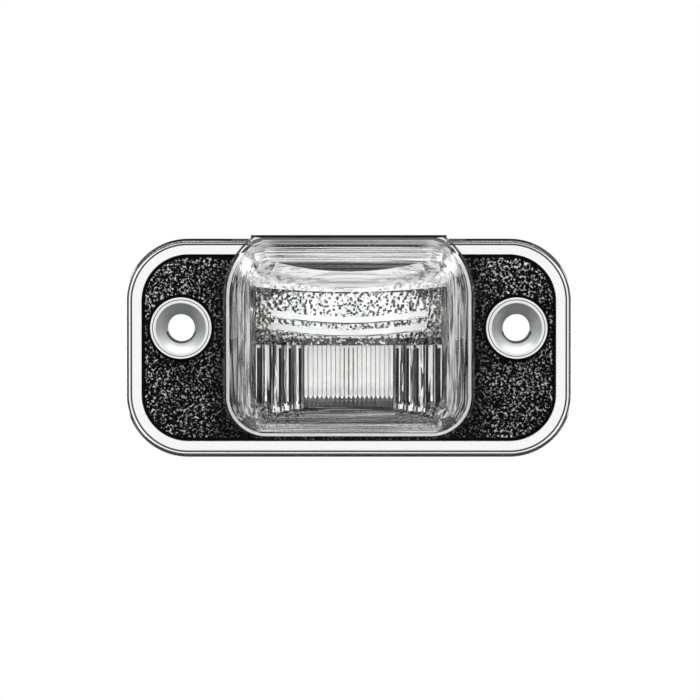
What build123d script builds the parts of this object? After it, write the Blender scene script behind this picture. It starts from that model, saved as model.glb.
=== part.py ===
import os
from math import cos, sin, sqrt

from build123d import *

os.makedirs("parts", exist_ok=True)

# Stack, measured forward from the mounting face
gasket_thickness = 2.0
base_thickness = 2.0
flange_thickness = 2.0
base_rear = gasket_thickness
base_front = base_rear + base_thickness
flange_front = base_front + flange_thickness

# Widths, worked outward from the bulb
bulb_length = 36.0
contact_room = 2.2
block_margin = 0.8
hole_gap = 7.0
hole_inset = 9.2
chamber_half = bulb_length / 2 + contact_room
block_half = chamber_half + block_margin
hole_offset = block_half + hole_gap
flange_width = 2 * (hole_offset + hole_inset)

# Heights, measured from the line through the screw holes
flange_height = 36.4
flange_corner = 10.4
hole_rise = 3.3
rim_width = 2.5
rim_depth = 4.5
rim_chamfer = 0.8
rim_rear = flange_front - rim_depth
nest_clearance = 0.1
flange_low = -hole_rise - flange_height / 2
flange_top = flange_low + flange_height
overrun = 5.0

# Raised block of the lens
block_gap = 0.4
block_rise = 0.6
shoulder_rise = 2.5
block_low = flange_low + rim_width + block_gap
block_top = flange_top + block_rise
block_shoulder = block_top + shoulder_rise
block_low_corner = 7.3
block_high_corner = 12.8
block_draft = 24
block_skirt = 0.4
block_height = 12.5
block_front = flange_front + block_height
arch_margin = 6.0
arch_radius = block_half + arch_margin
block_top_lean = 6.4
block_bevel = 1.0
lip_inset = 4.7
lip_width = 2 * (block_half - lip_inset)
lip_rear = 2.6

# Cavity of the lens
front_wall = 2.0
arch_step = 1.6
side_wall = 2.6
low_wall = 2.2
top_wall = 3.7
side_lean = 3.5
low_lean = 4.2
top_lean = 5.0
cavity_corner = 3.2
cavity_front = block_front - front_wall
cavity_arch = arch_radius - arch_step
cavity_half_rear = block_half - side_wall
cavity_half_front = cavity_half_rear - side_lean
cavity_low_rear = block_low + low_wall
cavity_low_front = cavity_low_rear + low_lean
cavity_top_rear = block_top - top_wall
cavity_top_front = cavity_top_rear - top_lean

# Bulb chamber of the base
low_ledge = 4.0
top_ledge = 3.2
chamber_low = cavity_low_rear + low_ledge
chamber_top = cavity_top_rear - top_ledge
chamber_wall = 1.4
chamber_floor = 7.0
chamber_rear = chamber_floor + chamber_wall
chamber_corner = 1.6
chamber_middle = (chamber_low + chamber_top) / 2
chamber_height = chamber_top - chamber_low

# Tubular bulb under the top wall of the reflector tray
tray_clearance = 0.1
tray_wall = 0.8
tray_top = chamber_top - tray_clearance
tray_low = chamber_low + tray_clearance
bulb_radius = 5.2
bulb_wall = 0.5
bulb_gap = 0.5
bulb_level = tray_top - tray_wall - bulb_gap - bulb_radius
bulb_forward = 1.0
neck_radius = 3.9
cap_radius = 4.4
cap_length = 6.0
cap_band = 2.2
cap_tip = 1.2
cap_end = bulb_length / 2
cap_start = cap_end - cap_length
shoulder_length = 2.4
glass_shoulder = cap_start - shoulder_length
coil_half = 4.0
coil_radius = 0.45
lead_radius = 0.2
wire_sides = 6

# Optics on the inside of the front wall, set by the bulb's level
flute_pitch = 0.72
flute_count = 20
flute_sag = 0.06
flute_reach = flute_count * flute_pitch / 2
prism_count = 5
prism_height = 0.45
prism_land = 0.45
rib_overlap = 1.05
rib_reach = cavity_half_front + rib_overlap
prism_pitch = (rib_reach - flute_reach) / prism_count
rib_drop = 4.6
rib_top = bulb_level - rib_drop
rib_embed = 0.5
band_height = 1.2
band_raise = 0.35
band_bevel = 0.25
band_radius = 69.0
band_inset = 2.4
band_half = cavity_half_front - band_inset
band_drops = (1.1, 3.2)

# Eyelets
head_radius = 5.1
head_proud = 0.2
head_thickness = 0.8
sink_radius = 4.2
bore_radius = 2.3
tube_radius = 3.9
lens_hole_clearance = 0.1
base_hole_clearance = 0.2
gasket_hole_clearance = 0.5
counterbore_clearance = 0.6
counterbore_radius = head_radius + counterbore_clearance
head_front = flange_front + head_proud
head_seat = head_front - head_thickness

# Reflector tray
tray_overlap = 0.3
tray_half = cap_start + tray_overlap
tray_foot_half = 7.8
tray_step_gap = 0.4
tray_step = bulb_level - bulb_radius - tray_step_gap
tray_depth = 5.9
tray_bend = 4.0
tray_lip_side_gap = 2.4
tray_lip_top_gap = 0.6
tray_lip_half = cavity_half_rear - tray_lip_side_gap
tray_lip_top = cavity_top_rear - tray_lip_top_gap

# Contact strips and rear socket
strip_thickness = 0.5
strip_width = 8.0
strip_bend = 0.7
arm_pinch = 0.75
arm_offset = cap_end - arm_pinch
arm_front = 4.2
arm_kink = -2.5
heel_gap = 0.9
heel_offset = chamber_half - heel_gap
heel_kink = -5.0
post_width = 2.6
post_offset = 5.0
post_gap = 0.5
post_level = bulb_level - (strip_width + post_width) / 2 - post_gap
blade_offset = 5.0
blade_width = 6.3
blade_end = 17.0
blade_chamfer = 1.0
slot_clearance = 0.1
slot_inner = blade_offset - strip_thickness / 2 - slot_clearance
slot_outer = blade_offset + strip_bend + slot_clearance
socket_width = 16.6
socket_height = 9.2
socket_wall = 1.2
socket_corner = 1.2
socket_end = 18.5
latch_width = 5.0
latch_rise = 1.2
latch_start = 11.0
latch_length = 4.0

# Gasket
gasket_margin = 0.4
gasket_clearance = 0.3

recess_width = flange_width - 2 * rim_width
recess_height = flange_height - 2 * rim_width
recess_corner = flange_corner - rim_width
plate_width = recess_width - 2 * nest_clearance
plate_height = recess_height - 2 * nest_clearance
plate_corner = recess_corner - nest_clearance


def front_plane(forward):
    return Plane.XZ.offset(forward)


def plan_plane(offset, level=0):
    return Plane(origin=(offset, 0, level), x_dir=(1, 0, 0), z_dir=(0, 0, -1))


def arch_point(run, depth=0):
    angle = run / cavity_arch
    reach = cavity_arch - depth
    return (reach * sin(angle), cavity_front - cavity_arch + reach * cos(angle))


def block_outline(margin):
    with BuildSketch(front_plane(flange_front)) as outline:
        with Locations((0, (block_low + block_shoulder) / 2)):
            Rectangle(2 * (block_half - margin), block_shoulder - block_low - 2 * margin)
        fillet(outline.vertices().group_by(Axis.Y)[0], block_low_corner - margin)
        fillet(outline.vertices().group_by(Axis.Y)[-1], block_high_corner - margin)
    return outline.sketch


with BuildPart() as block_form:
    extrude(block_outline(block_skirt), amount=block_height + overrun / 2, taper=block_draft)
    with BuildSketch(plan_plane(0)):
        with Locations((0, block_front - arch_radius)):
            Circle(arch_radius)
    extrude(amount=flange_width, both=True, mode=Mode.INTERSECT)
    top_front = block_top - block_top_lean
    with BuildSketch(Plane.YZ):
        with BuildLine():
            Polyline(
                (0, block_top),
                (-flange_front, block_top),
                (-block_front, top_front),
                (-block_front - overrun, top_front),
                (-block_front - overrun, block_shoulder + overrun),
                (0, block_shoulder + overrun),
                close=True,
            )
        make_face()
    extrude(amount=2 * block_half, both=True, mode=Mode.SUBTRACT)
    front_face = block_form.faces().filter_by(GeomType.CYLINDER).sort_by(Axis.Y)[0]
    top_face = block_form.faces().filter_by(GeomType.PLANE).sort_by(Axis.Z)[-1]
    top_edges = top_face.edges().sort_by(Axis.X)
    chamfer(front_face.edges() + [top_edges[0], top_edges[-1]], block_bevel)

with BuildPart() as skirt_form:
    extrude(block_outline(0), amount=block_skirt, taper=45)
    with BuildSketch(front_plane(flange_front)):
        with Locations((0, block_top - block_half)):
            Rectangle(2 * block_half, 2 * block_half)
    extrude(amount=block_skirt, mode=Mode.INTERSECT)

with BuildPart() as rib_form:
    with BuildSketch(plan_plane(0, rib_top)):
        with BuildLine():
            for index in range(flute_count):
                start = index * flute_pitch - flute_reach
                ThreePointArc(
                    arch_point(start),
                    arch_point(start + flute_pitch / 2, flute_sag),
                    arch_point(start + flute_pitch),
                )
            for side in (-1, 1):
                for index in range(prism_count):
                    middle = side * (flute_reach + (index + 0.5) * prism_pitch)
                    Polyline(
                        arch_point(middle - prism_pitch / 2),
                        arch_point(middle - prism_land / 2, prism_height),
                        arch_point(middle + prism_land / 2, prism_height),
                        arch_point(middle + prism_pitch / 2),
                    )
                Line(arch_point(side * rib_reach), arch_point(side * rib_reach, -rib_embed))
            ThreePointArc(
                arch_point(-rib_reach, -rib_embed),
                arch_point(0, -rib_embed),
                arch_point(rib_reach, -rib_embed),
            )
        make_face()
    extrude(amount=rib_top - cavity_low_rear)

with BuildPart() as band_form:
    with BuildSketch(front_plane(flange_front)):
        rise = band_radius - sqrt(band_radius**2 - band_half**2)
        for drop in band_drops:
            low = bulb_level - drop
            high = low + band_height
            with BuildLine():
                ThreePointArc((-band_half, low + rise), (0, low), (band_half, low + rise))
                Line((band_half, low + rise), (band_half, high + rise))
                ThreePointArc((band_half, high + rise), (0, high), (-band_half, high + rise))
                Line((-band_half, high + rise), (-band_half, low + rise))
            make_face()
    extrude(amount=block_height)
    with BuildSketch(plan_plane(0)):
        with Locations((0, cavity_front - cavity_arch)):
            Circle(cavity_arch + rib_embed)
            Circle(cavity_arch - band_raise, mode=Mode.SUBTRACT)
    extrude(amount=block_height, both=True, mode=Mode.INTERSECT)
    band_faces = band_form.faces().filter_by(GeomType.CYLINDER).sort_by(Axis.Y)[-len(band_drops):]
    chamfer(band_faces.edges(), band_bevel)

with BuildPart() as cavity_form:
    with BuildSketch(plan_plane(0, cavity_top_rear)):
        with BuildLine():
            shoulder = cavity_front - cavity_arch + sqrt(cavity_arch**2 - cavity_half_front**2)
            ThreePointArc((-cavity_half_front, shoulder), (0, cavity_front), (cavity_half_front, shoulder))
            Polyline(
                (cavity_half_front, shoulder),
                (cavity_half_rear, base_front),
                (-cavity_half_rear, base_front),
                (-cavity_half_front, shoulder),
            )
        make_face()
    extrude(amount=cavity_top_rear - cavity_low_rear)
    with BuildSketch(Plane.YZ):
        with BuildLine():
            Polyline(
                (-base_front, cavity_low_rear),
                (-base_front, cavity_top_rear),
                (-cavity_front, cavity_top_front),
                (-cavity_front, cavity_low_front),
                close=True,
            )
        make_face()
    extrude(amount=2 * block_half, both=True, mode=Mode.INTERSECT)
    corner_edges = cavity_form.edges().filter_by(GeomType.LINE).group_by(Axis.Y)[1]
    fillet(corner_edges, cavity_corner)
    add(rib_form.part, mode=Mode.SUBTRACT)
    add(band_form.part, mode=Mode.SUBTRACT)

with BuildPart() as lens:
    with BuildSketch(front_plane(rim_rear)):
        with Locations((0, -hole_rise)):
            RectangleRounded(flange_width, flange_height, flange_corner)
    extrude(amount=rim_depth)
    chamfer(lens.faces().sort_by(Axis.Y)[0].edges(), rim_chamfer)
    with BuildSketch(front_plane(rim_rear)):
        with Locations((0, -hole_rise)):
            RectangleRounded(recess_width, recess_height, recess_corner)
    extrude(amount=base_front - rim_rear, mode=Mode.SUBTRACT)
    with BuildSketch(front_plane(lip_rear)):
        with Locations((0, block_top - rim_width / 2)):
            Rectangle(lip_width, rim_width)
    extrude(amount=flange_front - lip_rear)
    add(block_form.part)
    add(skirt_form.part)
    add(cavity_form.part, mode=Mode.SUBTRACT)
    with BuildSketch(front_plane(base_front)):
        with Locations((-hole_offset, 0), (hole_offset, 0)):
            Circle(tube_radius + lens_hole_clearance)
    extrude(amount=flange_thickness, mode=Mode.SUBTRACT)
    with BuildSketch(front_plane(head_seat)):
        with Locations((-hole_offset, 0), (hole_offset, 0)):
            Circle(counterbore_radius)
    extrude(amount=flange_thickness, mode=Mode.SUBTRACT)

with BuildPart() as base:
    with BuildSketch(front_plane(base_rear)):
        with Locations((0, -hole_rise)):
            RectangleRounded(plate_width, plate_height, plate_corner)
    extrude(amount=base_thickness)
    with BuildSketch(front_plane(-chamber_rear)):
        with Locations((0, chamber_middle)):
            RectangleRounded(
                2 * (chamber_half + chamber_wall),
                chamber_height + 2 * chamber_wall,
                chamber_corner + chamber_wall,
            )
    extrude(amount=chamber_rear + base_rear)
    chamfer(base.faces().sort_by(Axis.Y)[-1].edges(), chamber_wall / 2)
    with BuildSketch(front_plane(-chamber_rear)):
        with Locations((0, bulb_level)):
            RectangleRounded(
                socket_width + 2 * socket_wall,
                socket_height + 2 * socket_wall,
                socket_corner + socket_wall,
            )
    extrude(amount=chamber_rear - socket_end)
    with BuildSketch(Plane.YZ):
        with BuildLine():
            latch_foot = bulb_level - socket_height / 2 - socket_wall
            Polyline(
                (latch_start, latch_foot),
                (latch_start, latch_foot - latch_rise),
                (latch_start + latch_length, latch_foot),
                close=True,
            )
        make_face()
    extrude(amount=latch_width / 2, both=True)
    with BuildSketch(front_plane(-chamber_floor)):
        with Locations((0, chamber_middle)):
            RectangleRounded(2 * chamber_half, chamber_height, chamber_corner)
    extrude(amount=chamber_floor + base_front, mode=Mode.SUBTRACT)
    with BuildSketch(front_plane(-chamber_rear)):
        with Locations((0, bulb_level)):
            RectangleRounded(socket_width, socket_height, socket_corner)
    extrude(amount=chamber_rear - socket_end, mode=Mode.SUBTRACT)
    with BuildSketch(front_plane(-chamber_rear)):
        slot_middle = (slot_inner + slot_outer) / 2
        with Locations((-slot_middle, bulb_level), (slot_middle, bulb_level)):
            Rectangle(slot_outer - slot_inner, blade_width + 2 * slot_clearance)
    extrude(amount=chamber_wall, mode=Mode.SUBTRACT)
    with BuildSketch(front_plane(base_rear)):
        with Locations((-hole_offset, 0), (hole_offset, 0)):
            Circle(tube_radius + base_hole_clearance)
    extrude(amount=base_thickness, mode=Mode.SUBTRACT)

with BuildPart() as body_gasket:
    with BuildSketch(front_plane(0)):
        with Locations((0, -hole_rise)):
            RectangleRounded(
                plate_width - 2 * gasket_margin,
                plate_height - 2 * gasket_margin,
                plate_corner - gasket_margin,
            )
        with Locations((0, chamber_middle)):
            RectangleRounded(
                2 * (chamber_half + chamber_wall + gasket_clearance),
                chamber_height + 2 * (chamber_wall + gasket_clearance),
                chamber_corner + chamber_wall + gasket_clearance,
                mode=Mode.SUBTRACT,
            )
        with Locations((-hole_offset, 0), (hole_offset, 0)):
            Circle(tube_radius + gasket_hole_clearance, mode=Mode.SUBTRACT)
    extrude(amount=gasket_thickness)


def build_eyelet(side):
    with BuildPart() as eyelet:
        with BuildSketch(plan_plane(side * hole_offset)):
            with BuildLine():
                Polyline(
                    (sink_radius, head_front),
                    (head_radius, head_front),
                    (head_radius, head_seat),
                    (tube_radius, head_seat),
                    (tube_radius, 0),
                    (bore_radius, 0),
                    (bore_radius, head_front - sink_radius + bore_radius),
                    close=True,
                )
            make_face()
        revolve(axis=Axis((side * hole_offset, 0, 0), (0, -1, 0)))
    return eyelet


eyelet_left = build_eyelet(-1)
eyelet_right = build_eyelet(1)


def tray_profile(inset, mouth):
    with BuildSketch(Plane.YZ) as profile:
        with BuildLine():
            Polyline(
                (tray_depth - inset, tray_top - inset),
                (-mouth, tray_top - inset),
                (-mouth, tray_low + inset),
                (tray_depth - inset, tray_low + inset),
                close=True,
            )
        make_face()
        fillet(profile.vertices().group_by(Axis.X)[-1], tray_bend + tray_wall - inset)
    return profile.sketch


with BuildPart() as reflector:
    extrude(tray_profile(0, base_front), amount=tray_half, both=True)
    with BuildSketch(front_plane(base_front)):
        with Locations((0, (tray_top - tray_wall + tray_lip_top) / 2)):
            Rectangle(2 * tray_lip_half, tray_lip_top - tray_top + tray_wall)
    extrude(amount=tray_wall)
    extrude(tray_profile(tray_wall, base_front + tray_wall), amount=tray_half, both=True, mode=Mode.SUBTRACT)
    with BuildSketch(front_plane(base_front)):
        for side in (-1, 1):
            with Locations((side * (tray_foot_half + tray_half) / 2, (chamber_low + tray_step) / 2)):
                Rectangle(tray_half - tray_foot_half, tray_step - chamber_low)
    extrude(amount=-base_front - tray_depth, mode=Mode.SUBTRACT)
    with BuildSketch(front_plane(-tray_depth)):
        with Locations((-post_offset, post_level), (post_offset, post_level)):
            Rectangle(post_width, post_width)
    extrude(amount=tray_depth - chamber_floor)

bulb_plane = Plane(origin=(0, -bulb_forward, bulb_level), x_dir=(1, 0, 0), z_dir=(0, -1, 0))
bulb_axis = Axis((0, -bulb_forward, bulb_level), (1, 0, 0))

with BuildPart() as bulb_glass:
    with BuildSketch(bulb_plane):
        with BuildLine():
            Polyline(
                (-cap_start, 0),
                (-cap_start, neck_radius),
                (-glass_shoulder, bulb_radius),
                (glass_shoulder, bulb_radius),
                (cap_start, neck_radius),
                (cap_start, 0),
                close=True,
            )
        make_face()
        with Locations((0, (bulb_radius - bulb_wall) / 2)):
            Rectangle(2 * glass_shoulder, bulb_radius - bulb_wall, mode=Mode.SUBTRACT)
    revolve(axis=bulb_axis)


def build_cap(side):
    with BuildPart() as cap:
        with BuildSketch(bulb_plane):
            with BuildLine():
                Polyline(
                    (side * cap_end, 0),
                    (side * cap_end, cap_tip),
                    (side * (cap_start + cap_band), cap_radius),
                    (side * cap_start, cap_radius),
                    (side * cap_start, 0),
                    close=True,
                )
            make_face()
        revolve(axis=bulb_axis)
    return cap


bulb_cap_left = build_cap(-1)
bulb_cap_right = build_cap(1)

with BuildPart() as filament:
    with BuildSketch(Plane(origin=(0, -bulb_forward, bulb_level), z_dir=(1, 0, 0))) as lead_outline:
        RegularPolygon(lead_radius, wire_sides)
    extrude(amount=glass_shoulder, both=True)
    with BuildSketch(Plane(origin=(0, -bulb_forward, bulb_level), z_dir=(1, 0, 0))) as coil_outline:
        RegularPolygon(coil_radius, wire_sides)
    extrude(amount=coil_half, both=True)


def build_contact(side):
    foot_forward = -chamber_floor + strip_thickness / 2
    arm_end = Plane(origin=(side * arm_offset, -arm_front, bulb_level), x_dir=(1, 0, 0), z_dir=(0, 1, 0))
    cap_slope = (cap_radius - cap_tip) / (cap_length - cap_band)
    with BuildPart() as contact:
        with BuildLine(plan_plane(0, bulb_level)):
            FilletPolyline(
                (side * arm_offset, arm_front),
                (side * arm_offset, arm_kink),
                (side * heel_offset, heel_kink),
                (side * heel_offset, foot_forward),
                (side * blade_offset, foot_forward),
                (side * blade_offset, -blade_end),
                radius=strip_bend,
            )
        with BuildSketch(arm_end):
            Rectangle(strip_thickness, strip_width)
        sweep()
        with BuildSketch(Plane.YZ):
            with Locations((-bulb_forward, bulb_level)):
                Circle(cap_tip + (cap_end - arm_offset + strip_thickness) * cap_slope)
        extrude(amount=side * cap_end, mode=Mode.SUBTRACT)
        with BuildSketch(front_plane(-chamber_floor)):
            with Locations((side * blade_offset, bulb_level)):
                Rectangle(overrun, strip_width + overrun)
                Rectangle(overrun, blade_width, mode=Mode.SUBTRACT)
        extrude(amount=chamber_floor - blade_end, mode=Mode.SUBTRACT)
        tip_edges = contact.faces().sort_by(Axis.Y)[-1].edges().filter_by(Axis.X)
        chamfer(tip_edges, blade_chamfer)
    return contact


contact_left = build_contact(-1)
contact_right = build_contact(1)

pieces = {
    "lens": lens,
    "base": base,
    "body_gasket": body_gasket,
    "eyelet_left": eyelet_left,
    "eyelet_right": eyelet_right,
    "reflector": reflector,
    "bulb_glass": bulb_glass,
    "bulb_cap_left": bulb_cap_left,
    "bulb_cap_right": bulb_cap_right,
    "filament": filament,
    "contact_left": contact_left,
    "contact_right": contact_right,
}
for name, piece in pieces.items():
    piece.part.label = name
    export_step(piece.part, f"parts/{name}.step")
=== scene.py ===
import bpy
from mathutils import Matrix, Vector


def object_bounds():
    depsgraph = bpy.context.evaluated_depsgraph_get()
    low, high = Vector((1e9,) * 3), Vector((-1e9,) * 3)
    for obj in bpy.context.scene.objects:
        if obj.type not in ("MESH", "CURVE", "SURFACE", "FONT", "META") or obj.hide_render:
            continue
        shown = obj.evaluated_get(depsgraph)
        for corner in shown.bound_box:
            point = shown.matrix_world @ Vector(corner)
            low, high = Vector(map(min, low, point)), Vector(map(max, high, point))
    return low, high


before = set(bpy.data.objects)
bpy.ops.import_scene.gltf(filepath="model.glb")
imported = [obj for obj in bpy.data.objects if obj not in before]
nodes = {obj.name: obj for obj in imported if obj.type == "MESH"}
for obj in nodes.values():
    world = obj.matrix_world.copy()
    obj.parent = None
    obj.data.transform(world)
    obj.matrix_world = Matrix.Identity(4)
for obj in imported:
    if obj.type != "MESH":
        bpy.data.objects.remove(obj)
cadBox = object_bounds()
print("frame loaded:", len(nodes), "pieces")


def newFinish(name):
    finish = bpy.data.materials.new(name)
    finish.use_nodes = True
    tree = finish.node_tree
    return finish, tree, tree.nodes["Principled BSDF"]


def addNode(tree, kind, **values):
    node = tree.nodes.new(kind)
    for key, value in values.items():
        setattr(node, key, value)
    return node


def addMath(tree, operation, first, second=None):
    node = addNode(tree, "ShaderNodeMath", operation=operation)
    for socket, value in zip(node.inputs, (first, second)):
        if isinstance(value, (int, float)):
            socket.default_value = value
        elif value is not None:
            tree.links.new(value, socket)
    return node.outputs[0]


def addChain(tree, operation, first, *others):
    for value in others:
        first = addMath(tree, operation, first, value)
    return first


def addAll(tree, *values):
    return addChain(tree, "MULTIPLY", *values)


def addEither(tree, *values):
    return addChain(tree, "MAXIMUM", *values)


def addSum(tree, *values):
    return addChain(tree, "ADD", *values)


def above(tree, value, limit):
    return addMath(tree, "GREATER_THAN", value, limit)


def below(tree, value, limit):
    return addMath(tree, "LESS_THAN", value, limit)


def addHypot(tree, first, second):
    return addMath(tree, "SQRT", addSum(tree, addAll(tree, first, first), addAll(tree, second, second)))


def objectPlace(tree):
    return addNode(tree, "ShaderNodeTexCoord").outputs["Object"]


def splitAxes(tree, vector):
    split = addNode(tree, "ShaderNodeSeparateXYZ")
    tree.links.new(vector, split.inputs[0])
    return split.outputs


def addOutline(tree, axes, shape):
    # distance from a rounded rectangle round the Y axis, negative inside
    corner = shape["corner"]
    across = addMath(tree, "SUBTRACT", addMath(tree, "ABSOLUTE", axes["X"]), shape["half"][0] - corner)
    height = addMath(tree, "ABSOLUTE", addMath(tree, "SUBTRACT", axes["Z"], shape["middle"]))
    upward = addMath(tree, "SUBTRACT", height, shape["half"][1] - corner)
    beyond = addHypot(tree, addEither(tree, across, 0), addEither(tree, upward, 0))
    within = addMath(tree, "MINIMUM", addEither(tree, across, upward), 0)
    return addMath(tree, "SUBTRACT", addSum(tree, beyond, within), corner)


def addNoise(tree, place, scale=1, detail=3.0, rough=0.55):
    noise = addNode(tree, "ShaderNodeTexNoise")
    noise.inputs["Scale"].default_value = scale
    noise.inputs["Detail"].default_value = detail
    noise.inputs["Roughness"].default_value = rough
    tree.links.new(place, noise.inputs["Vector"])
    return noise.outputs["Fac"]


def addRange(tree, value, low, high, start=0, end=1, smooth=False):
    # goes from start to end while the value goes from low to high
    kind = "SMOOTHSTEP" if smooth else "LINEAR"
    span = addNode(tree, "ShaderNodeMapRange", interpolation_type=kind)
    for socket, limit in (("From Min", low), ("From Max", high), ("To Min", start), ("To Max", end)):
        span.inputs[socket].default_value = limit
    tree.links.new(value, span.inputs["Value"])
    return span.outputs[0]


def addBump(tree, shader, height, strength=1, distance=1):
    bump = addNode(tree, "ShaderNodeBump")
    bump.inputs["Strength"].default_value = strength
    bump.inputs["Distance"].default_value = distance
    tree.links.new(height, bump.inputs["Height"])
    tree.links.new(bump.outputs[0], shader.inputs["Normal"])


def addRamp(tree, value, stops, tones, socket):
    ramp = addNode(tree, "ShaderNodeValToRGB")
    for element, stop, tone in zip(ramp.color_ramp.elements, stops, tones):
        element.position = stop
        element.color = (*tone, 1)
    tree.links.new(value, ramp.inputs[0])
    tree.links.new(ramp.outputs[0], socket)


def addTones(tree, shader, value, look):
    addRamp(tree, value, look["stops"], (look["dark"], look["light"]), shader.inputs["Base Color"])


def addSeen(tree, *rays):
    path = addNode(tree, "ShaderNodeLightPath")
    return addEither(tree, *[path.outputs[ray] for ray in rays])


def mixSurface(tree, factor, first, second):
    mix = addNode(tree, "ShaderNodeMixShader")
    tree.links.new(factor, mix.inputs[0])
    tree.links.new(first.outputs[0], mix.inputs[1])
    tree.links.new(second.outputs[0], mix.inputs[2])
    tree.links.new(mix.outputs[0], tree.nodes["Material Output"].inputs["Surface"])


def addPassShadow(tree, shader):
    # lamps shine through, so the inside is lit
    mixSurface(tree, addSeen(tree, "Is Shadow Ray"), shader, addNode(tree, "ShaderNodeBsdfTransparent"))


def dress(finish, *names):
    for name in names:
        node = nodes[name]
        node.data.materials.clear()
        node.data.materials.append(finish)


# clear acrylic of the lens: pebbled above the flutes, drawn streaks on the sloping walls, with painted shade
# darkening its colour in places
lensLook = {
    "tint": (0.985, 0.99, 0.99), "shade": (0.006, 0.0062, 0.0064), "rough": 0.01, "ior": 1.49,
    "frontLean": 0.8, "hollowFrom": 0.0095,  # what counts as a front wall, and as the block's hollow
    "archAxis": 0.0089, "pebbleFrom": 0.02522, "pebbleTo": 0.0262, "pebbleAbove": -0.0026,
    "pebble": 1500, "pebbleDepth": 0.0008,
    "flutePitch": 0.00072, "fluteHalf": 0.0072, "valleyFrom": 0.36, "valleySlope": 1.2,
    "fluteFoot": -0.0114, "fluteHead": -0.0014, "scallop": 0.0012, "headHalf": 0.0155,
    "prismPitch": 0.00164, "prismEnd": 0.0154, "prismFrom": 0.6, "prismSlope": 0.5, "prismLean": 0.3,
    "upright": (2000, 2000, 120), "level": (20, 2000, 2000), "streakDetail": 1.5, "streakDepth": 0.0001,
    "wallFrom": 0.0065, "wallRough": 0.02,
    "footFrom": 0.0064, "footTo": 0.0076, "footBelow": 0.0125, "footFrost": 0.72, "footRough": 0.4,
    "foreheadFrom": 0.0062, "foreheadSag": 0.0008, "foreheadFrost": 0.5,
    "arcFrom": 0.36, "arcTo": 0.56, "arcLow": 0.35,
    "bandFrom": -0.0014, "bandTo": 0.0034, "bandFrost": 0.45,
    "sideFrom": 0.44, "sideTo": 0.62, "sideFrost": 0.5, "topShare": 0.6,
    "endFrom": 0.0112, "endTo": 0.0138, "endFrost": 0.42, "endLean": 0.3,
    "shadeDots": 1700, "dotSize": 0.4, "dotShare": 0.15, "shadeBlot": 1900, "shadeBlotDetail": 2.0, "shadeBlotShare": 0.43,
    "wedgeFrom": 0.0085, "wedgeTo": 0.0135, "wedgeThick": (0.0003, 0.0015), "wedgeHalf": 0.0146,
    "creaseFrom": 0.0147, "creaseLean": 0.5, "greyFrom": 0.38, "greyTo": 0.58, "greyLow": 0.9,
    "brow": 0.0152, "lipHalf": 0.0195, "lipFrom": 0.0151,
    "rim": {"half": (0.0372, 0.0182), "corner": 0.0104, "middle": -0.0033},
    "rimEdge": 0.0008, "rimReach": 0.52, "rimBend": 0.0012, "bevelLean": 0.5, "bevelLeanTo": 0.9,
    "rimLine": 0.00095, "rimLineHalf": 0.00015, "rimFront": 0.004, "rimEdgeShade": 0.0004, "edgeShadeLean": 0.4,
}


def addStretch(tree, place, sizes):
    stretch = addNode(tree, "ShaderNodeMapping")
    stretch.inputs["Scale"].default_value = sizes
    tree.links.new(place, stretch.inputs["Vector"])
    return stretch.outputs[0]


def lensZones(tree):
    place = objectPlace(tree)
    axes = splitAxes(tree, place)
    facing = addNode(tree, "ShaderNodeNewGeometry")
    lean = splitAxes(tree, facing.outputs["Normal"])
    leanX, leanY, leanZ = [addMath(tree, "ABSOLUTE", lean[axis]) for axis in "XYZ"]
    forward = addAll(tree, axes["Y"], -1)
    width = addMath(tree, "ABSOLUTE", axes["X"])

    # distance from the arch's axis tells the inner front wall from the outer one
    reach = addHypot(tree, axes["X"], addMath(tree, "SUBTRACT", axes["Y"], lensLook["archAxis"]))
    front = above(tree, leanY, lensLook["frontLean"])
    hollow = above(tree, forward, lensLook["hollowFrom"])
    inner = addAll(
        tree,
        above(tree, reach, lensLook["pebbleFrom"]),
        below(tree, reach, lensLook["pebbleTo"]),
        front,
        hollow,
    )
    # outer faces point away from the Y axis, and the sign turns round on back faces
    outward = addSum(tree, addAll(tree, axes["X"], lean["X"]), addAll(tree, axes["Z"], lean["Z"]))
    turn = addMath(tree, "SUBTRACT", 0.5, facing.outputs["Backfacing"])
    sloped = below(tree, leanY, lensLook["frontLean"])

    # fine drawn lines, upright on the side walls and level on the others
    onSides = above(tree, leanX, leanZ)
    level, upright = [
        addNoise(tree, addStretch(tree, place, lensLook[run]), detail=lensLook["streakDetail"])
        for run in ("level", "upright")
    ]
    streak = addNode(tree, "ShaderNodeMix", data_type="FLOAT")
    tree.links.new(onSides, streak.inputs["Factor"])
    tree.links.new(level, streak.inputs["A"])
    tree.links.new(upright, streak.inputs["B"])

    # distance across each flute, and height above the forehead's sagging lower edge
    across = addMath(tree, "FRACT", addMath(tree, "DIVIDE", axes["X"], lensLook["flutePitch"]))
    across = addMath(tree, "ABSOLUTE", addMath(tree, "SUBTRACT", across, 0.5))
    sag = addMath(tree, "POWER", addMath(tree, "DIVIDE", width, lensLook["headHalf"]), 2)
    sag = addAll(tree, sag, lensLook["foreheadSag"])
    rise = addMath(tree, "SUBTRACT", addMath(tree, "SUBTRACT", axes["Z"], sag), lensLook["foreheadFrom"])
    return {
        "place": place, "axes": axes, "forward": forward, "width": width, "reach": reach,
        "leanY": leanY, "leanZ": leanZ, "backside": facing.outputs["Backfacing"],
        "front": front, "hollow": hollow, "inner": inner, "sloped": sloped, "onSides": onSides,
        "upper": addAll(tree, inner, above(tree, axes["Z"], lensLook["pebbleAbove"])),
        "outside": above(tree, addAll(tree, outward, turn), 0),
        "wall": addAll(tree, sloped, above(tree, forward, lensLook["wallFrom"])),
        "fluted": below(tree, width, lensLook["fluteHalf"]),
        "outline": addOutline(tree, axes, lensLook["rim"]),
        "level": level, "streak": streak.outputs[0], "across": across, "rise": rise,
    }


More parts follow.
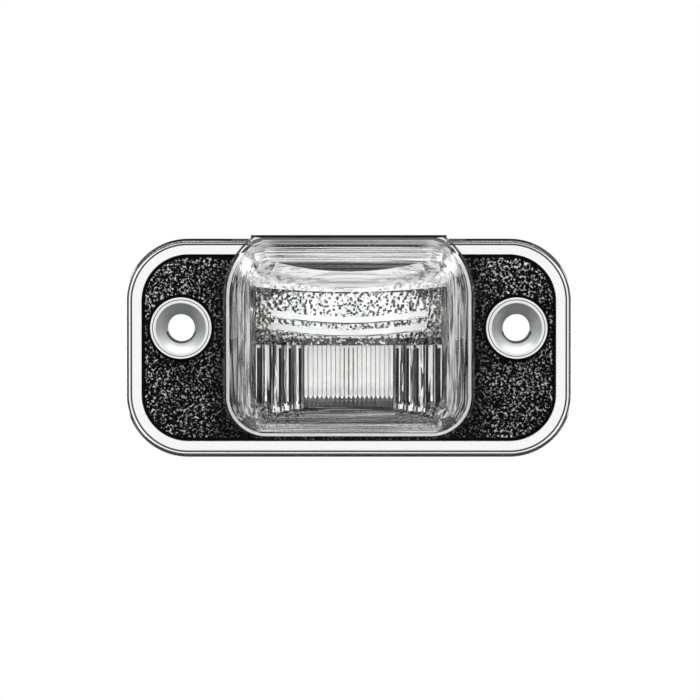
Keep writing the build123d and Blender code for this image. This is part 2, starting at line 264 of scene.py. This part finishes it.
def addRelief(tree, shader, zone):
    axes, width = zone["axes"], zone["width"]
    cells = addNode(tree, "ShaderNodeTexVoronoi", feature="SMOOTH_F1")
    cells.inputs["Scale"].default_value = lensLook["pebble"]
    tree.links.new(zone["place"], cells.inputs["Vector"])
    pebble = addAll(tree, cells.outputs["Distance"], lensLook["pebbleDepth"], zone["upper"])

    # sharp valleys between the flutes
    valley = addEither(tree, addMath(tree, "SUBTRACT", zone["across"], lensLook["valleyFrom"]), 0)
    valleyDepth = lensLook["flutePitch"] * lensLook["valleySlope"]
    lower = addMath(tree, "SUBTRACT", zone["inner"], zone["upper"])
    valley = addAll(tree, valley, valleyDepth, zone["fluted"], lower)

    # outer faces of the prisms are a little flatter at their backs
    step = addMath(tree, "SUBTRACT", width, lensLook["fluteHalf"])
    step = addMath(tree, "FRACT", addMath(tree, "DIVIDE", step, lensLook["prismPitch"]))
    facet = addAll(
        tree,
        addEither(tree, addMath(tree, "SUBTRACT", step, lensLook["prismFrom"]), 0),
        lensLook["prismPitch"] * lensLook["prismSlope"],
        zone["hollow"],
        below(tree, zone["reach"], lensLook["pebbleTo"]),
        below(tree, axes["Z"], lensLook["pebbleAbove"]),
        above(tree, width, lensLook["fluteHalf"]),
        below(tree, width, lensLook["prismEnd"]),
        above(tree, zone["leanY"], lensLook["prismLean"]),
    )
    drawn = addAll(tree, zone["streak"], lensLook["streakDepth"], zone["wall"])

    # the rim's bevel is softly rounded
    depth = addSum(tree, zone["outline"], lensLook["rimEdge"] / 2)
    bend = addAll(
        tree,
        addMath(tree, "DIVIDE", addAll(tree, depth, depth), lensLook["rimBend"]),
        below(tree, addMath(tree, "ABSOLUTE", depth), lensLook["rimEdge"] * lensLook["rimReach"]),
        above(tree, zone["leanY"], lensLook["bevelLean"]),
        below(tree, zone["leanY"], lensLook["bevelLeanTo"]),
    )
    height = addSum(tree, pebble, drawn, facet)
    addBump(tree, shader, addMath(tree, "SUBTRACT", addMath(tree, "SUBTRACT", height, valley), bend))


def addFrost(tree, shader, zone):
    axes, forward = zone["axes"], zone["forward"]
    arc = (lensLook["arcFrom"], lensLook["arcTo"], lensLook["arcLow"])
    # frosted line round the block's foot, on the outer face only
    foot = addAll(
        tree,
        zone["sloped"],
        zone["outside"],
        above(tree, forward, lensLook["footFrom"]),
        below(tree, forward, lensLook["footTo"]),
        below(tree, axes["Z"], lensLook["footBelow"]),
    )
    # hazy forehead above the pebbles, drawn out in fine arcs
    forehead = addAll(
        tree,
        zone["front"],
        zone["hollow"],
        above(tree, zone["rise"], 0),
        addMath(tree, "SUBTRACT", 1, zone["backside"]),
        addRange(tree, zone["level"], *arc),
    )
    # pale drawn streaks on the side walls and fainter ones on the top wall
    aheadOfFoot = addAll(tree, zone["sloped"], zone["outside"], above(tree, forward, lensLook["footTo"]))
    upward = above(tree, axes["Z"], 0)
    onTop = addAll(tree, upward, below(tree, forward, lensLook["creaseFrom"]), lensLook["topShare"])
    pale = addRange(
        tree, zone["streak"], lensLook["sideFrom"], lensLook["sideTo"],
        end=lensLook["sideFrost"], smooth=True,
    )
    sides = addAll(tree, aheadOfFoot, pale, addEither(tree, onTop, zone["onSides"]))
    # streaked haze over the block's upper corners
    haze = addRange(
        tree, zone["width"], lensLook["endFrom"], lensLook["endTo"],
        end=lensLook["endFrost"], smooth=True,
    )
    corners = addAll(
        tree,
        aheadOfFoot,
        haze,
        addRange(tree, zone["streak"], *arc),
        above(tree, zone["leanZ"], lensLook["endLean"]),
        upward,
    )
    # the two bands stand proud of the inner wall and are a little milky
    bands = addAll(
        tree,
        below(tree, zone["reach"], lensLook["pebbleFrom"]),
        zone["hollow"],
        zone["front"],
        above(tree, axes["Z"], lensLook["bandFrom"]),
        below(tree, axes["Z"], lensLook["bandTo"]),
    )
    frost = addSum(
        tree,
        addAll(tree, foot, lensLook["footFrost"]),
        addAll(tree, bands, lensLook["bandFrost"]),
        addAll(tree, forehead, lensLook["foreheadFrost"]),
        addEither(tree, sides, corners),
    )
    tree.links.new(addMath(tree, "SUBTRACT", 1, frost), shader.inputs["Transmission Weight"])
    rough = addSum(tree, addAll(tree, zone["wall"], lensLook["wallRough"]), lensLook["rough"])
    rough = addSum(tree, rough, addAll(tree, foot, lensLook["footRough"]))
    tree.links.new(rough, shader.inputs["Roughness"])


def addShade(tree, shader, zone):
    place, axes, width, rise = zone["place"], zone["axes"], zone["width"], zone["rise"]
    # painted shade: the top wall darker ahead of its crease and along its brow
    ahead = above(tree, zone["forward"], lensLook["creaseFrom"])
    creaseShade = addAll(
        tree,
        addRange(tree, zone["level"], lensLook["greyFrom"], lensLook["greyTo"], lensLook["greyLow"]),
        zone["sloped"],
        zone["outside"],
        above(tree, zone["leanZ"], lensLook["creaseLean"]),
        above(tree, axes["Z"], 0),
        addEither(tree, ahead, above(tree, axes["Z"], lensLook["brow"])),
    )
    # painted shade as dark dots: between the pebbles, in the upper corners of their field and where the
    # flutes begin
    shadeDotCells = addNode(tree, "ShaderNodeTexVoronoi")
    shadeDotCells.inputs["Scale"].default_value = lensLook["shadeDots"]
    tree.links.new(place, shadeDotCells.inputs["Vector"])
    chance = splitAxes(tree, shadeDotCells.outputs["Color"])["X"]
    underForehead = below(tree, rise, 0)
    shadeDots = addAll(
        tree,
        zone["upper"],
        underForehead,
        below(tree, shadeDotCells.outputs["Distance"], lensLook["dotSize"]),
        above(tree, chance, lensLook["dotShare"]),
    )
    # painted shade in noisy blots, for the wedges in the upper corners and the line where the flutes begin
    shadeBlot = above(tree, addNoise(tree, place, lensLook["shadeBlot"], lensLook["shadeBlotDetail"]), lensLook["shadeBlotShare"])
    thick = addRange(
        tree, width, lensLook["wedgeFrom"], lensLook["wedgeTo"], *lensLook["wedgeThick"], smooth=True,
    )
    wedgeShade = addAll(
        tree,
        shadeBlot,
        zone["inner"],
        underForehead,
        above(tree, addSum(tree, rise, thick), 0),
        below(tree, width, lensLook["wedgeHalf"]),
    )
    headShade = addAll(
        tree,
        shadeBlot,
        zone["upper"],
        below(tree, axes["Z"], lensLook["fluteHead"]),
        below(tree, width, lensLook["headHalf"]),
    )
    # painted shade along the scalloped feet of the flutes
    scallop = addAll(tree, zone["across"], lensLook["scallop"])
    footLine = below(tree, addMath(tree, "SUBTRACT", axes["Z"], scallop), lensLook["fluteFoot"])
    fluteFootShade = addAll(tree, zone["inner"], zone["fluted"], footLine)
    # painted shade line where the rim's bevel begins
    away = addMath(tree, "ABSOLUTE", addSum(tree, zone["outline"], lensLook["rimLine"]))
    rimLine = addAll(
        tree,
        below(tree, away, lensLook["rimLineHalf"]),
        above(tree, zone["leanY"], lensLook["bevelLean"]),
        above(tree, zone["forward"], lensLook["rimFront"]),
    )
    # painted shade along the rim's outer edge, on the lip above the block only along its top edge
    clearOfLip = addEither(tree, above(tree, width, lensLook["lipHalf"]), below(tree, axes["Z"], 0))
    rimEdgeShade = addAll(
        tree,
        above(tree, zone["outline"], -lensLook["rimEdgeShade"]),
        above(tree, zone["leanY"], lensLook["edgeShadeLean"]),
        addEither(tree, clearOfLip, above(tree, axes["Z"], lensLook["lipFrom"])),
    )
    # all these masks paint shade into the clear lens's colour
    dim = addEither(tree, creaseShade, shadeDots, wedgeShade, headShade, fluteFootShade, rimLine, rimEdgeShade)
    addRamp(tree, dim, (0, 1), (lensLook["tint"], lensLook["shade"]), shader.inputs["Base Color"])


def clearLens():
    finish, tree, shader = newFinish("clearAcrylic")
    shader.inputs["IOR"].default_value = lensLook["ior"]
    zone = lensZones(tree)
    addRelief(tree, shader, zone)
    addFrost(tree, shader, zone)
    addShade(tree, shader, zone)
    addPassShadow(tree, shader)
    return finish


dress(clearLens(), "lens")

# black moulding with a fine spark grain, smooth along the plate's edge and round the eyelets; the grain's
# light specks are painted glints
baseLook = {
    "dark": (0.003, 0.003, 0.004), "light": (0.95, 0.95, 0.96), "stops": (0.01, 1), "rough": 0.14,
    "grain": 2300, "grainDetail": 4.0, "grainRough": 0.75, "grainFrom": 0.54, "grainTo": 0.6,
    "depth": 0.00003, "patch": 160, "patchDetail": 2.0, "patchGain": 2, "front": 0.0036,
    "plate": {"half": (0.0346, 0.0156), "corner": 0.0078, "middle": -0.0033}, "border": 0.0006,
    "chamber": {"half": (0.0205, 0.0108), "corner": 0.0016, "middle": -0.0019}, "floor": 0.0072,
    "mould": 2600, "mouldTone": 0.035, "mouldDepth": 0.3,
    "eyelet": 0.028, "land": 0.0056, "blockEdge": 0.021, "blockClear": 0.0245, "blockShade": 0.2,
    "topLightFrom": 0.003, "topLightTo": 0.011, "topLight": 1.6,
}


def blackGrain():
    finish, tree, shader = newFinish("blackGrain")
    place = objectPlace(tree)
    axes = splitAxes(tree, place)
    width = addMath(tree, "ABSOLUTE", axes["X"])
    aside = addMath(tree, "SUBTRACT", width, baseLook["eyelet"])
    grain = addNoise(tree, place, baseLook["grain"], baseLook["grainDetail"], baseLook["grainRough"])
    swell = addAll(
        tree,
        addRange(tree, grain, baseLook["grainFrom"], baseLook["grainTo"], smooth=True),
        below(tree, addOutline(tree, axes, baseLook["plate"]), -baseLook["border"]),
        above(tree, addHypot(tree, aside, axes["Z"]), baseLook["land"]),
        below(tree, axes["Y"], -baseLook["front"]),
    )
    # painted glints fade beside the block as painted shade, and grow brighter towards the plate's upper
    # corners as painted light
    besideBlockShade = addRange(tree, width, baseLook["blockEdge"], baseLook["blockClear"], baseLook["blockShade"])
    topLight = addRange(tree, axes["Z"], baseLook["topLightFrom"], baseLook["topLightTo"], 1, baseLook["topLight"])
    patch = addNoise(tree, place, baseLook["patch"], baseLook["patchDetail"])
    paintedGlintAndTone = addAll(tree, swell, addAll(tree, patch, baseLook["patchGain"]), besideBlockShade, topLight)
    # outside of the housing is satin, the bulb chamber inside it stays plain black
    behind = above(tree, axes["Y"], -baseLook["front"])
    beside = above(tree, addOutline(tree, axes, baseLook["chamber"]), 0)
    beyond = above(tree, axes["Y"], baseLook["floor"])
    satin = addAll(tree, behind, addEither(tree, beside, beyond), addNoise(tree, place, baseLook["mould"]))
    paintedGlintAndTone = addSum(tree, paintedGlintAndTone, addAll(tree, satin, baseLook["mouldTone"]))
    swell = addSum(tree, swell, addAll(tree, satin, baseLook["mouldDepth"]))
    addTones(tree, shader, paintedGlintAndTone, baseLook)
    addBump(tree, shader, swell, distance=baseLook["depth"])
    shader.inputs["Roughness"].default_value = baseLook["rough"]
    return finish


dress(blackGrain(), "base")

gasketLook = {
    "dark": (0.012, 0.012, 0.013), "light": (0.045, 0.045, 0.047), "stops": (0.35, 0.7),
    "cell": 3800, "cellRough": 0.6, "bump": 0.6, "depth": 0.00012, "rough": 0.85,
}


def foamRubber():
    finish, tree, shader = newFinish("foamRubber")
    cells = addNoise(tree, objectPlace(tree), gasketLook["cell"], rough=gasketLook["cellRough"])
    addTones(tree, shader, cells, gasketLook)
    addBump(tree, shader, cells, gasketLook["bump"], gasketLook["depth"])
    shader.inputs["Roughness"].default_value = gasketLook["rough"]
    return finish


dress(foamRubber(), "body_gasket")

# zinc plated steel with turning marks round each eyelet's axis: bright ring, and a darker cone whose tone is
# painted shade
eyeletLook = {
    "shadedCone": ((0.42, 0.44, 0.45), (0.64, 0.65, 0.65)), "ring": ((0.82, 0.83, 0.84), (0.96, 0.96, 0.97)),
    "stops": (0.3, 0.65), "grooveShade": (0.1, 0.1, 0.1), "grooveAt": 0.0047, "grooveHalf": 0.00007,
    "spacing": 0.028, "coneEdge": 0.0042, "boreEdge": 0.0026, "boreBelow": -0.0006,
    "marks": 9000, "marksDetail": 2.0, "bump": 0.25, "depth": 0.00003, "rough": 0.42,
}


def addToneMix(tree, factor):
    mix = addNode(tree, "ShaderNodeMix", data_type="RGBA")
    tree.links.new(factor, mix.inputs["Factor"])
    return mix.inputs[6], mix.inputs[7], mix.outputs[2]  # the node's two colours and their mix


def zincPlate():
    finish, tree, shader = newFinish("zincPlate")
    axes = splitAxes(tree, objectPlace(tree))
    aside = addMath(tree, "SUBTRACT", addMath(tree, "ABSOLUTE", axes["X"]), eyeletLook["spacing"])
    radius = addHypot(tree, aside, axes["Z"])
    turned = addNode(tree, "ShaderNodeCombineXYZ")
    tree.links.new(radius, turned.inputs["X"])
    tree.links.new(axes["Y"], turned.inputs["Y"])
    marks = addNoise(tree, turned.outputs[0], eyeletLook["marks"], eyeletLook["marksDetail"])
    shadedCone, ring, metal = addToneMix(tree, above(tree, radius, eyeletLook["coneEdge"]))
    addRamp(tree, marks, eyeletLook["stops"], eyeletLook["shadedCone"], shadedCone)
    addRamp(tree, marks, eyeletLook["stops"], eyeletLook["ring"], ring)
    # painted shade line where a turned groove runs near the head's outer edge
    away = addMath(tree, "ABSOLUTE", addMath(tree, "SUBTRACT", radius, eyeletLook["grooveAt"]))
    grooveShade = below(tree, away, eyeletLook["grooveHalf"])
    # painted shade on the bore's rounded lower edge
    boreShade = below(tree, radius, eyeletLook["boreEdge"])
    boreShade = addAll(tree, boreShade, below(tree, axes["Z"], eyeletLook["boreBelow"]))
    plain, dark, tone = addToneMix(tree, addEither(tree, grooveShade, boreShade))
    tree.links.new(metal, plain)
    dark.default_value = (*eyeletLook["grooveShade"], 1)
    tree.links.new(tone, shader.inputs["Base Color"])
    addBump(tree, shader, marks, eyeletLook["bump"], eyeletLook["depth"])
    shader.inputs["Metallic"].default_value = 1
    shader.inputs["Roughness"].default_value = eyeletLook["rough"]
    return finish


dress(zincPlate(), "eyelet_left", "eyelet_right")

reflectorLook = {
    "dark": (0.84, 0.84, 0.82), "light": (0.93, 0.93, 0.92), "stops": (0.3, 0.7),
    "cloud": 300, "cloudDetail": 2.0, "rough": 0.35,
}


def whiteMoulding():
    finish, tree, shader = newFinish("whiteMoulding")
    cloud = addNoise(tree, objectPlace(tree), reflectorLook["cloud"], reflectorLook["cloudDetail"])
    addTones(tree, shader, cloud, reflectorLook)
    shader.inputs["Roughness"].default_value = reflectorLook["rough"]
    return finish


dress(whiteMoulding(), "reflector")

# pearl glass, frosted inside, so the coil shows only as a soft shade
bulbLook = {
    "dark": (0.86, 0.87, 0.87), "light": (0.97, 0.98, 0.98), "stops": (0.3, 0.7),
    "cloud": 500, "cloudDetail": 2.0, "clear": 0.4, "rough": 0.35, "ior": 1.5,
}


def tubeGlass():
    finish, tree, shader = newFinish("pearlGlass")
    cloud = addNoise(tree, objectPlace(tree), bulbLook["cloud"], bulbLook["cloudDetail"])
    addTones(tree, shader, cloud, bulbLook)
    shader.inputs["Transmission Weight"].default_value = bulbLook["clear"]
    shader.inputs["Roughness"].default_value = bulbLook["rough"]
    shader.inputs["IOR"].default_value = bulbLook["ior"]
    addPassShadow(tree, shader)
    return finish


dress(tubeGlass(), "bulb_glass")

# small metal parts of the bulb and its contacts
metalLooks = {
    "nickelCap": {"dark": (0.52, 0.5, 0.46), "light": (0.72, 0.7, 0.66), "grain": 900, "rough": 0.3},
    "tungsten": {"dark": (0.12, 0.12, 0.12), "light": (0.25, 0.24, 0.24), "grain": 4000, "rough": 0.5},
    "tinnedStrip": {"dark": (0.6, 0.6, 0.59), "light": (0.8, 0.8, 0.79), "grain": 700, "rough": 0.3},
}
metalShared = {"stops": (0.3, 0.7), "bump": 0.15, "depth": 0.00005}


def smallMetal(name):
    look = {**metalShared, **metalLooks[name]}
    finish, tree, shader = newFinish(name)
    cloud = addNoise(tree, objectPlace(tree), look["grain"])
    addTones(tree, shader, cloud, look)
    addBump(tree, shader, cloud, look["bump"], look["depth"])
    shader.inputs["Metallic"].default_value = 1
    shader.inputs["Roughness"].default_value = look["rough"]
    return finish


dress(smallMetal("nickelCap"), "bulb_cap_left", "bulb_cap_right")
dress(smallMetal("tungsten"), "filament")
dress(smallMetal("tinnedStrip"), "contact_left", "contact_right")
print("finishes set")

# studio: pale floor below, white surround, soft panels
studio = {
    "floorDrop": 0.35, "floorHalf": 3.0, "floorTone": 0.9, "floorRough": 0.9, "floorGlow": 0.97,
    "worldFill": 0.45,
}


def flatBoard(name, halfWide, halfTall, level=0):
    mesh = bpy.data.meshes.new(name)
    turns = ((-1, -1), (1, -1), (1, 1), (-1, 1))
    mesh.from_pydata([(x * halfWide, y * halfTall, level) for x, y in turns], [], [(0, 1, 2, 3)])
    board = bpy.data.objects.new(name, mesh)
    bpy.context.scene.collection.objects.link(board)
    return board


def buildFloor():
    half = studio["floorHalf"]
    floor = flatBoard("studioFloor", half, half, cadBox[0].z - studio["floorDrop"])
    finish, tree, shader = newFinish("paleFloor")
    shader.inputs["Base Color"].default_value = (studio["floorTone"],) * 3 + (1,)
    shader.inputs["Roughness"].default_value = studio["floorRough"]
    seen = addSeen(tree, "Is Camera Ray", "Is Transmission Ray")
    mixSurface(tree, addAll(tree, seen, studio["floorGlow"]), shader, addNode(tree, "ShaderNodeEmission"))
    floor.data.materials.append(finish)


# boards that only glass and metal see: frames behind the lamp draw the clear edges
frames = {
    "inner": {"depth": 0.3, "wide": (0.052, 0.1), "tall": (0.055, 0.11), "tone": 0.005},
    "outer": {"depth": 0.3, "wide": (0.18, 0.33), "tall": (0.19, 0.34), "tone": 0.08},
    "between": {"depth": 0.301, "wide": (0.052, 0.33), "tall": (0.055, 0.34), "tone": 0.3},
}
cards = {
    "underCard": {"spot": (0, -0.05, -0.1), "face": (0, 0, 1), "size": (0.3, 0.2), "tone": 0.03},
    "frontCard": {"spot": (0, -1.1, 0), "face": (0, 1, 0), "size": (0.32, 0.32), "tone": 0.01},
    "overCard": {"spot": (0, 0.34, 0.5), "face": (0, -0.56, -0.83), "size": (0.5, 0.4), "tone": 0.05},
    "leftFlag": {"spot": (-0.49, -0.344, 0), "face": (0.819, 0.574, 0), "size": (0.46, 0.25), "tone": 0.03},
    "rightFlag": {"spot": (0.49, -0.344, 0), "face": (-0.819, 0.574, 0), "size": (0.46, 0.25), "tone": 0.03},
}
for name, frameLook in frames.items():
    nearX, farX = frameLook["wide"]
    nearZ, farZ = frameLook["tall"]
    for side in (-1, 1):
        cards[f"{name}Side{side}"] = {
            "spot": (side * (nearX + farX) / 2, frameLook["depth"], 0), "face": (0, -1, 0),
            "size": (farX - nearX, 2 * farZ), "tone": frameLook["tone"],
        }
        cards[f"{name}Level{side}"] = {
            "spot": (0, frameLook["depth"], side * (nearZ + farZ) / 2), "face": (0, -1, 0),
            "size": (2 * nearX, farZ - nearZ), "tone": frameLook["tone"],
        }


def buildCards():
    for name, card in cards.items():
        board = flatBoard(name, card["size"][0] / 2, card["size"][1] / 2)
        board.location = card["spot"]
        board.rotation_euler = Vector(card["face"]).to_track_quat("Z", "Y").to_euler()
        finish, _, shader = newFinish(name)
        shader.inputs["Base Color"].default_value = (0, 0, 0, 1)
        shader.inputs["Emission Color"].default_value = (card["tone"],) * 3 + (1,)
        shader.inputs["Emission Strength"].default_value = 1
        board.data.materials.append(finish)
        board.visible_camera = False
        board.visible_diffuse = False
        board.visible_shadow = False


def buildWorld():
    world = bpy.data.worlds.new("whiteRoom")
    bpy.context.scene.world = world
    world.use_nodes = True
    tree = world.node_tree
    back = tree.nodes["Background"]
    back.inputs["Color"].default_value = (1, 1, 1, 1)
    seen = addSeen(tree, "Is Camera Ray", "Is Transmission Ray", "Is Glossy Ray")
    fill = addSum(tree, addAll(tree, seen, 1 - studio["worldFill"]), studio["worldFill"])
    tree.links.new(fill, back.inputs["Strength"])


panels = {
    "leftSoft": {"spot": (-0.45, -0.55, 0.36), "size": (0.5, 0.22), "power": 1.8},
    "rightSoft": {"spot": (0.45, -0.5, 0.36), "size": (0.5, 0.22), "power": 1.65},
    "lowSoft": {"spot": (0, -0.6, -0.35), "size": (0.5, 0.2), "power": 0.8},
    "leftRear": {"spot": (-0.6, 0.5, 0.05), "size": (0.35, 0.6), "power": 5},
    "rightRear": {"spot": (0.6, 0.5, 0.05), "size": (0.35, 0.6), "power": 4.4},
    "highPanel": {"spot": (0, -0.2, 0.9), "size": (1.6, 0.2), "power": 5.6},
}


def buildPanels():
    for name, panel in panels.items():
        lamp = bpy.data.lights.new(name, "AREA")
        lamp.shape = "RECTANGLE"
        lamp.size, lamp.size_y = panel["size"]
        lamp.energy = panel["power"]
        holder = bpy.data.objects.new(name, lamp)
        holder.location = panel["spot"]
        holder.rotation_euler = (-Vector(panel["spot"])).to_track_quat("-Z", "Y").to_euler()
        bpy.context.scene.collection.objects.link(holder)


buildFloor()
buildCards()
buildWorld()
buildPanels()
print("studio built")

# camera a little above square-on, on a long lens
cameraSetup = {
    "aim": (0.0002, -0.006, -0.00365), "spot": (0.0002, -0.856, 0.0182), "field": 0.11667,
    "sensor": 36, "clip": (0.01, 20),
}


def buildCamera():
    lens = bpy.data.cameras.new("plateCamera")
    camera = bpy.data.objects.new("plateCamera", lens)
    aim, spot = Vector(cameraSetup["aim"]), Vector(cameraSetup["spot"])
    camera.location = spot
    camera.rotation_euler = (aim - spot).to_track_quat("-Z", "Y").to_euler()
    lens.sensor_width = cameraSetup["sensor"]
    lens.lens = cameraSetup["sensor"] * (aim - spot).length / cameraSetup["field"]
    lens.clip_start, lens.clip_end = cameraSetup["clip"]
    bpy.context.scene.collection.objects.link(camera)
    bpy.context.scene.camera = camera


buildCamera()
bpy.context.scene.view_settings.view_transform = "Standard"
